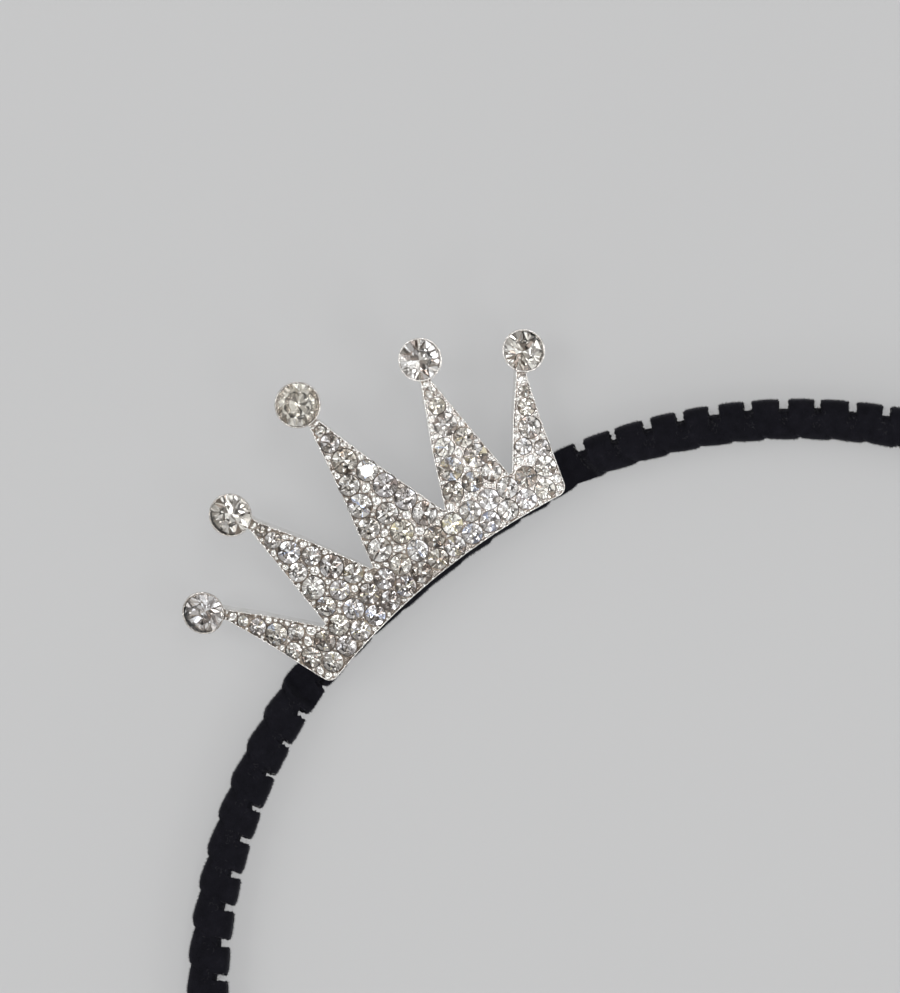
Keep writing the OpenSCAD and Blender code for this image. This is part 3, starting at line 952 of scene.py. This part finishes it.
def stoneTree():
    # a cut stone at each place, with its own lean, spin and width, and a random tone for every facet,
    # which the foil turns into painted reflections
    tree, given, leave = makeTree("setStones", Crown="Object", Pavilion="Object", Seed="Int",
                                  Glass="Material", Foil="Material")
    spin = addNode(tree, "ShaderNodeCombineXYZ", {"Z": namedValue(tree, "spin")}).outputs["Vector"]
    turned = turnedBy(tree, toOwnAxis(tree), asTurn(tree, spin))
    join = addNode(tree, "GeometryNodeJoinGeometry")
    for half, finish in (("Crown", "Glass"), ("Pavilion", "Foil")):
        cut = addNode(tree, "GeometryNodeObjectInfo", {"Object": given[half]}).outputs["Geometry"]
        halves = standOn(tree, given["Geometry"], cut, turned, namedValue(tree, "width"))
        setInputs(join, {"Geometry": painted(tree, halves, given[finish])})
    weld = addNode(tree, "GeometryNodeMergeByDistance", {
        "Geometry": join.outputs["Geometry"], "Distance": sameSpot})
    keep = addNode(tree, "GeometryNodeStoreNamedAttribute", {
        "Geometry": weld.outputs["Geometry"], "Name": "facetTone",
        "Value": randomBetween(tree, 0.0, 1.0, given["Seed"])}, data_type="FLOAT", domain="FACE")
    return finishTree(leave, keep.outputs["Geometry"])


def glassMaterial():
    # a stone's own tint runs from a faint straw colour to a faint lilac
    return tonedMaterial("clearCutGlass", "tint", [
        (0.0, (0.93, 0.91, 0.83)), (0.3, (0.98, 0.97, 0.93)), (0.6, (0.98, 0.98, 0.98)),
        (1.0, (0.95, 0.95, 1.0))], {"Roughness": 0.0, "IOR": 1.58, "Transmission Weight": 1.0})


def foilMaterial():
    # painted reflections: most facets of the foil are bright, some warm and dim, and a few hold a
    # painted spark of blue or yellow
    return tonedMaterial("stoneFoil", "facetTone", [
        (0.00, (0.34, 0.29, 0.26)), (0.08, (0.58, 0.55, 0.51)), (0.20, (0.78, 0.76, 0.73)),
        (0.36, (0.94, 0.93, 0.92)), (0.60, (1.00, 1.00, 1.00)), (0.976, (0.76, 0.83, 1.00)),
        (0.988, (1.00, 0.95, 0.74))], {"Metallic": 1.0, "Roughness": 0.06}, "CONSTANT")


stoneSet = {
    "tilt": 0.05,
    "paved": {"fill": 0.12 * mm, "lift": 0.15 * mm},     # wider and higher than its solid by these
    "tip": {"fill": 0.08 * mm, "lift": 0.07 * mm},
    # tint from straw to lilac, seed of the turn and lean, seed of the facets' painted reflection tones
    "tips": {
        "tip_stone_left_outer": (0.9, 7, 12),
        "tip_stone_left_inner": (0.45, 6, 6),
        "tip_stone_middle": (0.20, 31, 51),
        "tip_stone_right_inner": (0.7, 9, 9),
        "tip_stone_right_outer": (0.35, 10, 10),
    },
    "pavedTints": (0.15, 1.0),
    "seed": 102,
    "toneSeed": 5,
}
glass, foil, setStones = glassMaterial(), foilMaterial(), stoneTree()


def leaningAxes(stones, rng):
    # the stones' axes, each leaning a little to a side of its own
    return np.array([s[1] for s in stones]) + rng.uniform(-1, 1, (len(stones), 3)) * stoneSet["tilt"]


def placeStones(name, stones, halves, kind, tints, seed, toneSeed):
    rng = np.random.default_rng(seed)
    centres = np.array([s[0] + s[1] * stoneSet[kind]["lift"] for s in stones])
    cloud = pointCloud(
        name + "Places", centres, axis=leaningAxes(stones, rng),
        width=np.array([s[2] for s in stones]) + stoneSet[kind]["fill"],
        spin=rng.uniform(0, math.pi / 4, len(stones)), tint=rng.uniform(*tints, len(stones)))
    values = {"Crown": halves[0], "Pavilion": halves[1], "Seed": toneSeed, "Glass": glass, "Foil": foil}
    return runTree(cloud, setStones, values, name)


halves = {kind: cutHalves(cut) for kind, cut in cuts.items()}
paved = placeStones("pavedStones", paveStones, halves["paved"], "paved",
                    stoneSet["pavedTints"], stoneSet["seed"], stoneSet["toneSeed"])
dress(paved, "clear_stone", "pave_stones")
for node in tipNames:
    tint, seed, toneSeed = stoneSet["tips"][node]
    pair = halves["middleTip" if node == "tip_stone_middle" else "tip"]
    tip = placeStones(node + "_cut", [tipStones[node]], pair, "tip", (tint, tint), seed, toneSeed)
    dress(tip, "clear_stone", node)
for pair in halves.values():
    for half in pair:
        bpy.data.objects.remove(half)
print("stones set")


# The crown's metal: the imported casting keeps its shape, with beads, rims and an edge wire on it

silverLook = {
    "patches": 1400.0,         # scale of the noise that tones and dulls it
    "tones": [(0.2, (0.74, 0.71, 0.67)), (0.5, (0.90, 0.89, 0.87)), (0.8, (0.96, 0.96, 0.96))],
    "roughness": [(0.3, (0.12,) * 3), (0.75, (0.26,) * 3)],
    "grain": 3800.0,           # scale of the noise that roughens it
    "grainStrength": 0.35,
    "grainHeight": 0.04 * mm,
}


def silverMaterial():
    look = silverLook
    material, tree, shader = newMaterial("brightSilver", {"Metallic": 1.0})
    noise = noiseOn(tree, look["patches"], roughness=0.55)
    grain = noiseOn(tree, look["grain"], detail=2.0, roughness=0.6)
    setInputs(shader, {
        "Base Color": colourRamp(tree, noise, look["tones"]),
        "Roughness": colourRamp(tree, noise, look["roughness"]),
        "Normal": bumped(tree, grain, look["grainStrength"], look["grainHeight"])})
    return material


# painted shade: the plate's face between the stones is coloured dimmer than the silver, paler towards
# the right tines
recess = {
    "left": ((0.17, 0.130, 0.100), (0.60, 0.55, 0.50)),      # darkest and palest, by the left tines
    "right": ((0.28, 0.24, 0.21), (0.90, 0.87, 0.84)),
    "turnsPale": (-6 * mm, 10 * mm),                         # between these places across the crown
    "tonesFrom": (0.34, 0.64),     # the darkest ends and the palest begins at these values of the noise
    "roughness": 0.24,
    "grain": 2400.0,           # scale of the noise that tones it
    "reach": 0.03 * mm,        # the face's painted shade, roughness and lumps go on this far down the walls
    "lumps": 1500.0,           # uneven cast metal, which breaks up what the face mirrors
    "lumpHeight": 0.13 * mm,
    "lumpStrength": 0.9,
}


def castMaterial():
    # the same silver, dimmed by painted shade and rough on the plate's face, where it lies deep between
    # the stones; paler towards the right tines
    material = silver.copy()
    material.name = "castSilver"
    tree = material.node_tree
    shader = tree.nodes["Principled BSDF"]
    colour, rough, normal = (
        shader.inputs[k].links[0].from_socket for k in ("Base Color", "Roughness", "Normal"))
    # the face is what lies farthest from the axis that the plate is bent round
    where = addNode(tree, "ShaderNodeTexCoord").outputs["Object"]
    fromAxis = vectorOf(tree, "SUBTRACT", where, (0, 0, plate["axisHeight"]))
    reach = vectorOf(tree, "LENGTH", vectorOf(tree, "MULTIPLY", fromAxis, (1, 0, 1)), output="Value")
    onFront = calculated(tree, "GREATER_THAN", reach, plate["faceRadius"] - recess["reach"])
    noise = noiseOn(tree, recess["grain"], roughness=0.6)
    left, right = (
        colourRamp(tree, noise, list(zip(recess["tonesFrom"], recess[k]))) for k in ("left", "right"))
    x = addNode(tree, "ShaderNodeSeparateXYZ", {"Vector": where}).outputs["X"]
    start, end = recess["turnsPale"]
    across = addNode(tree, "ShaderNodeMapRange", {"Value": x, "From Min": start, "From Max": end})
    # painted shade on the face, from the left tines' tones to the right tines'
    deep = mixedColour(tree, across.outputs["Result"], left, right)
    strength = calculated(tree, "MULTIPLY", onFront, recess["lumpStrength"])
    lumps = noiseOn(tree, recess["lumps"], detail=2.0, roughness=0.6)
    uneven = bumped(tree, lumps, strength, recess["lumpHeight"])
    setInputs(uneven.node, {"Normal": normal})
    setInputs(shader, {
        "Base Color": mixedColour(tree, onFront, colour, deep),
        "Roughness": mixedColour(tree, onFront, rough, (*(recess["roughness"],) * 3, 1)),
        "Normal": uneven})
    return material


silver = silverMaterial()
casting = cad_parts["crown_frame"]
casting.data.materials.clear()
casting.data.materials.append(castMaterial())

beadSet = {
    "largest": 0.60 * mm,
    "smallest": (0.155 * mm, 0.24 * mm),    # on the left and middle, and on the right
    "rightFrom": 6 * mm,
    "tallest": 0.30 * mm,
    "gridStep": 0.06 * mm,
    "seatGap": 0.11 * mm,
    "overEdge": 0.05 * mm,
    "subdivisions": 3,
    "sink": 0.25,          # share of a bead's radius that its middle lies below the face
    "missing": 0.22,       # share of the small gaps that hold no bead
    "alwaysFrom": 0.33 * mm,
    "narrowing": (0.7, 1.0),
    "seed": 31,
}
# round each stone: the wire's radius, its distance from the stone, its height above the stone's
# girdle, and the share of it that is left where it is thinnest
cupSet = {"wire": 0.042 * mm, "gap": 0.115 * mm, "lift": 0.10 * mm, "thinnest": 1.0}
# the seat rings are dark: painted shade in the gap round each paved stone
seatSet = {"wire": 0.056 * mm, "gap": 0.100 * mm, "lift": 0.115 * mm, "thinnest": 0.50}
# points and wire of every ring, and the scale of the noise that thins it, between these values
ringSet = {"points": 28, "wireSides": 6, "patches": 750.0, "patchEdge": (0.42, 0.58)}
edgeSet = {
    "rim": {"wire": 0.05 * mm, "inset": 0.04 * mm, "sink": 0.01 * mm},
    "seam": {"wire": 0.06 * mm, "inset": 0.17 * mm, "sink": 0.042 * mm},
    "wireSides": 8,
    "step": 0.14 * mm,
    "wobble": 0.35,
    "grainStep": 0.66 * mm,
    "grainShare": 0.5,
    "grainShift": 0.3,             # how far one strays along the edge, as a share of the step
    "grainHalf": (0.15 * mm, 0.29 * mm),      # shortest and longest half of a grain
    "grainWidth": 0.11 * mm,
    "grainWidths": (0.8, 1.25),    # of the slimmest and the widest grain, as shares
    "grainSink": 0.2,
    "smoothFrom": 15 * mm,         # past here the walls that face the middle are smooth
    "facesMiddle": 0.3,            # they face it by at least this share
    "ridgeStep": 0.48 * mm,
    "ridgeSize": (0.17 * mm, 0.17 * mm, 0.62 * mm),
    "ridgeDepth": 0.62 * mm,
    "neckReach": 4.7 * mm,
    "subdivisions": 2,
    "sharpFrom": 50,               # degrees between a face and a wall
    "seatReach": 0.12 * mm,        # an edge this near a paved stone is its seat's
    "weld": 0.002 * mm,
    "seed": 21,
}


def faceEdges():
    # the sharp edges between the plate's face and its side walls, without those of the seats
    shape = bmesh.new()
    shape.from_mesh(casting.data)
    bmesh.ops.remove_doubles(shape, verts=shape.verts, dist=sameSpot)

    def onTheFace(vertex):
        reach = math.hypot(vertex.co.x, vertex.co.z - plate["axisHeight"])
        return abs(reach - plate["faceRadius"]) < plate["faceTolerance"]

    def seat(edge):
        middle = (edge.verts[0].co + edge.verts[1].co) / 2
        return any((middle - Vector(c)).length < w / 2 + edgeSet["seatReach"] for c, _, w in paveStones)

    lines = []
    for edge in shape.edges:
        if len(edge.link_faces) == 2 and all(onTheFace(v) for v in edge.verts):
            if edge.calc_face_angle() > math.radians(edgeSet["sharpFrom"]) and not seat(edge):
                lines.append([tuple(v.co) for v in edge.verts])
    shape.free()
    return lines


def longestChain(lines):
    # joins edges end to end, and returns the points of the longest line that they make
    def key(point):
        return tuple(round(c / edgeSet["weld"]) for c in point)

    joined, places = {}, {}
    for a, b in lines:
        places[key(a)], places[key(b)] = a, b
        joined.setdefault(key(a), []).append(key(b))
        joined.setdefault(key(b), []).append(key(a))
    longest = []
    left = set(joined)
    while left:
        here = left.pop()
        loop = [here]
        while True:
            following = [k for k in joined[here] if k in left]
            if not following:
                break
            here = following[0]
            left.discard(here)
            loop.append(here)
        if len(loop) > len(longest):
            longest = loop
    return np.array([places[k] for k in longest])


outline = longestChain(faceEdges())
print("outline points:", len(outline))


def insideOutline(x, y):
    inside = np.zeros(x.shape, bool)
    for (ax, ay, _), (bx, by, _) in zip(outline, np.roll(outline, -1, axis=0)):
        crosses = (ay > y) != (by > y)
        with np.errstate(divide="ignore", invalid="ignore"):
            inside ^= crosses & (x < (bx - ax) * (y - ay) / (by - ay) + ax)
    return inside


def outlineDistance(x, y):
    nearest = np.full(x.shape, np.inf)
    for a, b in zip(outline[:, :2], np.roll(outline[:, :2], -1, axis=0)):
        step = b - a
        share = np.clip(((x - a[0]) * step[0] + (y - a[1]) * step[1]) / max(step @ step, 1e-12), 0, 1)
        nearest = np.minimum(nearest, np.hypot(x - a[0] - share * step[0], y - a[1] - share * step[1]))
    return nearest


def beadPlaces():
    # the largest bead that fits goes in first, then the next, until the gaps are full
    low, high = outline.min(0), outline.max(0)
    x, y = np.meshgrid(np.arange(low[0], high[0], beadSet["gridStep"]),
                       np.arange(low[1], high[1], beadSet["gridStep"]), indexing="ij")
    room = np.where(insideOutline(x, y), outlineDistance(x, y) - beadSet["overEdge"], -1)
    for centre, _, width in paveStones + list(tipStones.values()):
        room = np.minimum(room, np.hypot(x - centre[0], y - centre[1]) - width / 2 - beadSet["seatGap"])
    least = np.where(x < beadSet["rightFrom"], *beadSet["smallest"])
    room = np.where(room > least, room, -1)
    rng = np.random.default_rng(beadSet["seed"])
    beads = []
    while room.max() > 0:
        at = np.unravel_index(room.argmax(), room.shape)
        radius = min(room[at], beadSet["largest"])
        if radius > beadSet["alwaysFrom"] or rng.uniform() > beadSet["missing"]:
            beads.append((x[at], y[at], radius))
        room = np.minimum(room, np.hypot(x - x[at], y - y[at]) - radius)
        room = np.where(room > least, room, -1)
    return np.array(beads)


def ballTree():
    # a ball at each place, stretched to its own size along its own axes
    tree, given, leave = makeTree("setBeads", Subdivisions="Int", Material="Material")
    ball = addNode(tree, "GeometryNodeMeshIcoSphere", {
        "Radius": 1.0, "Subdivisions": given["Subdivisions"]}).outputs["Mesh"]
    inputs = {"Rotation": toOwnAxis(tree), "Vector": namedValue(tree, "along", "FLOAT_VECTOR")}
    turned = addNode(tree, "FunctionNodeAlignRotationToVector", inputs, axis="X", pivot_axis="Z")
    size = namedValue(tree, "size", "FLOAT_VECTOR")
    balls = standOn(tree, given["Geometry"], smoothed(tree, ball), turned.outputs["Rotation"], size)
    return finishTree(leave, painted(tree, balls, given["Material"]))


def wireTree():
    # round wire along the edges of the base mesh, as thick as each point says
    tree, given, leave = makeTree("layWire", Radius="Float", Sides="Int", Material="Material")
    path = addNode(tree, "GeometryNodeMeshToCurve", {"Mesh": given["Geometry"]}).outputs["Curve"]
    wire = sweepWire(tree, path, given["Radius"], given["Sides"], namedValue(tree, "thick"))
    return finishTree(leave, painted(tree, smoothed(tree, wire), given["Material"]))


def ringTree():
    # a thin round rim about each place, as wide as its own radius, and thinner in patches
    tree, given, leave = makeTree("setRims", Wire="Float", Thinnest="Float", Material="Material")
    low, high = ringSet["patchEdge"]
    patches = addNode(tree, "ShaderNodeTexNoise", {"Scale": ringSet["patches"], "Detail": 1.0})
    thickness = addNode(tree, "ShaderNodeMapRange", {
        "Value": patches.outputs["Fac"], "From Min": low, "From Max": high,
        "To Min": given["Thinnest"], "To Max": 1.0}).outputs["Result"]
    hoop = circle(tree, ringSet["points"], 1.0)
    hoops = standOn(tree, given["Geometry"], hoop, toOwnAxis(tree), namedValue(tree, "radius"))
    rims = sweepWire(tree, hoops, given["Wire"], ringSet["wireSides"], thickness)
    return finishTree(leave, painted(tree, smoothed(tree, rims), given["Material"]))


setBeads, layWire, setRims = ballTree(), wireTree(), ringTree()


def layBalls(name, points, axis, along, size, subdivisions):
    cloud = pointCloud(name + "Places", points, axis=axis, along=along, size=size)
    return runTree(cloud, setBeads, {"Subdivisions": subdivisions, "Material": silver}, name)


def makeBeads():
    x, y, radius = beadPlaces().T
    height = np.minimum(radius, beadSet["tallest"] ** 2 / radius)
    rng = np.random.default_rng(beadSet["seed"] + 1)
    turn = rng.uniform(0, math.pi, len(x))
    along = np.stack([np.cos(turn), np.sin(turn), 0 * turn], -1)
    size = np.stack([radius, radius * rng.uniform(*beadSet["narrowing"], len(x)), height], -1)
    print("beads:", len(x))
    middles = onFace(x, y, -beadSet["sink"] * height)
    return layBalls("settingBeads", middles, faceNormal(x), along, size, beadSet["subdivisions"])


def insetOutline(inset, step):
    # the outline in even steps, drawn in by the inset, with its directions along and outwards
    closed = np.concatenate([outline, outline[:1]])
    reach = np.concatenate([[0], np.cumsum(np.linalg.norm(np.diff(closed, axis=0), axis=1))])
    at = np.linspace(0, reach[-1], int(reach[-1] / step), endpoint=False)
    x, y = np.interp(at, reach, closed[:, 0]), np.interp(at, reach, closed[:, 1])
    along = np.stack([np.roll(x, -1) - np.roll(x, 1), np.roll(y, -1) - np.roll(y, 1)])
    along /= np.linalg.norm(along, axis=0)
    inward = np.stack([-along[1], along[0]])
    # a point just beside the first one tells on which side the inside is
    probe = 0.1 * mm
    if not insideOutline(x[:1] + inward[0, :1] * probe, y[:1] + inward[1, :1] * probe)[0]:
        inward = -inward
    return x + inward[0] * inset, y + inward[1] * inset, along, -inward


def layEdge(name, kind, material):
    # a wire of uneven thickness all round the plate's edge
    rng = np.random.default_rng(edgeSet["seed"])
    x, y, _, _ = insetOutline(kind["inset"], edgeSet["step"])
    n = len(x)
    thick = 1 + edgeSet["wobble"] * rng.uniform(-1, 1, n)
    base = pointCloud(name + "Base", onFace(x, y, -kind["sink"]), thick=thick)
    base.data.edges.add(n)
    base.data.edges.foreach_set("vertices", [v for i in range(n) for v in (i, (i + 1) % n)])
    values = {"Radius": kind["wire"], "Sides": edgeSet["wireSides"], "Material": material}
    return runTree(base, layWire, values, name)


def makeGrains():
    # long and short grains of metal pushed up along the edge
    rng = np.random.default_rng(edgeSet["seed"] + 1)
    wide, step = edgeSet["grainWidth"], edgeSet["grainStep"]
    x, y, along, outward = insetOutline(wide, step)
    kept = rng.uniform(0, 1, len(x)) < edgeSet["grainShare"]
    facesMiddle = outward[0] * np.sign(x) < -edgeSet["facesMiddle"]
    kept &= ~((np.abs(x) > edgeSet["smoothFrom"]) & facesMiddle)
    x, y, along = x[kept], y[kept], along[:, kept]
    n = len(x)
    shift = rng.uniform(-edgeSet["grainShift"], edgeSet["grainShift"], n) * step
    x, y = x + along[0] * shift, y + along[1] * shift
    half = rng.uniform(*edgeSet["grainHalf"], n)
    widths = wide * rng.uniform(*edgeSet["grainWidths"], n)
    points = onFace(x, y, -edgeSet["grainSink"] * wide)
    heading = np.stack([along[0], along[1], 0 * x], -1)
    size = np.stack([half, widths, widths], -1)
    return layBalls("edgeGrains", points, faceNormal(x), heading, size, edgeSet["subdivisions"])


def makeRidges():
    # short upright ridges on the sides of each neck, close to its cup
    x, y, along, _ = insetOutline(0.0, edgeSet["ridgeStep"])
    near = np.full(x.shape, False)
    for centre, _, _ in tipStones.values():
        near |= np.hypot(x - centre[0], y - centre[1]) < edgeSet["neckReach"]
    x, y, along = x[near], y[near], along[:, near]
    heading = np.stack([along[0], along[1], 0 * x], -1)
    size = np.tile(edgeSet["ridgeSize"], (len(x), 1))
    points = onFace(x, y, -edgeSet["ridgeDepth"])
    return layBalls("neckRidges", points, faceNormal(x), heading, size, edgeSet["subdivisions"])


def layRings(name, stones, ring, material):
    axes = np.array([s[1] for s in stones])
    centres = np.array([s[0] for s in stones]) + axes * ring["lift"]
    radii = np.array([s[2] / 2 + ring["gap"] for s in stones])
    cloud = pointCloud(name + "Places", centres, axis=axes, radius=radii)
    values = {"Wire": ring["wire"], "Thinnest": ring["thinnest"], "Material": material}
    return runTree(cloud, setRims, values, name)


def seatShadowMaterial():
    # painted shade: the dark edge of a seat, where the gap between stone and metal lies in shadow, warm
    # where the metal shows; the dark line just inside the outline uses it too
    return tonedMaterial("seatShadowEdge", {"scale": 700.0, "detail": 2.0}, [
        (0.40, (0.035, 0.028, 0.024)), (0.56, (0.11, 0.08, 0.06)), (0.68, (0.36, 0.28, 0.20))],
        {"Metallic": 0.25, "Roughness": 0.55})


dark = seatShadowMaterial()
dress(makeBeads(), "silver_metal")
seatEdges = layRings("seatEdges", paveStones, seatSet, dark)
cupRims = layRings("cupRims", list(tipStones.values()), cupSet, silver)
rim = layEdge("outlineRim", edgeSet["rim"], silver)
seam = layEdge("outlineSeam", edgeSet["seam"], dark)
for piece in (rim, seam, makeGrains(), makeRidges(), cupRims, seatEdges):
    dress(piece, "silver_metal")
print("crown dressed")

# One paved stone on the middle tine mirrors a small lamp in its table
glint = {"near": (1.29 * mm, 12.06 * mm), "size": 0.016, "watts": 0.022}


def makeGlint():
    flat = [math.dist(s[0][:2], glint["near"]) for s in paveStones]
    number = int(np.argmin(flat))
    axes = leaningAxes(paveStones, np.random.default_rng(stoneSet["seed"]))
    centre, axis = Vector(paveStones[number][0]), Vector(axes[number]).normalized()
    sight = (bpy.context.scene.camera.matrix_world.translation - centre).normalized()
    mirrored = 2 * sight.dot(axis) * axis - sight
    hangLamp("glintLamp", centre, mirrored, glint["watts"], glint["size"])


makeGlint()
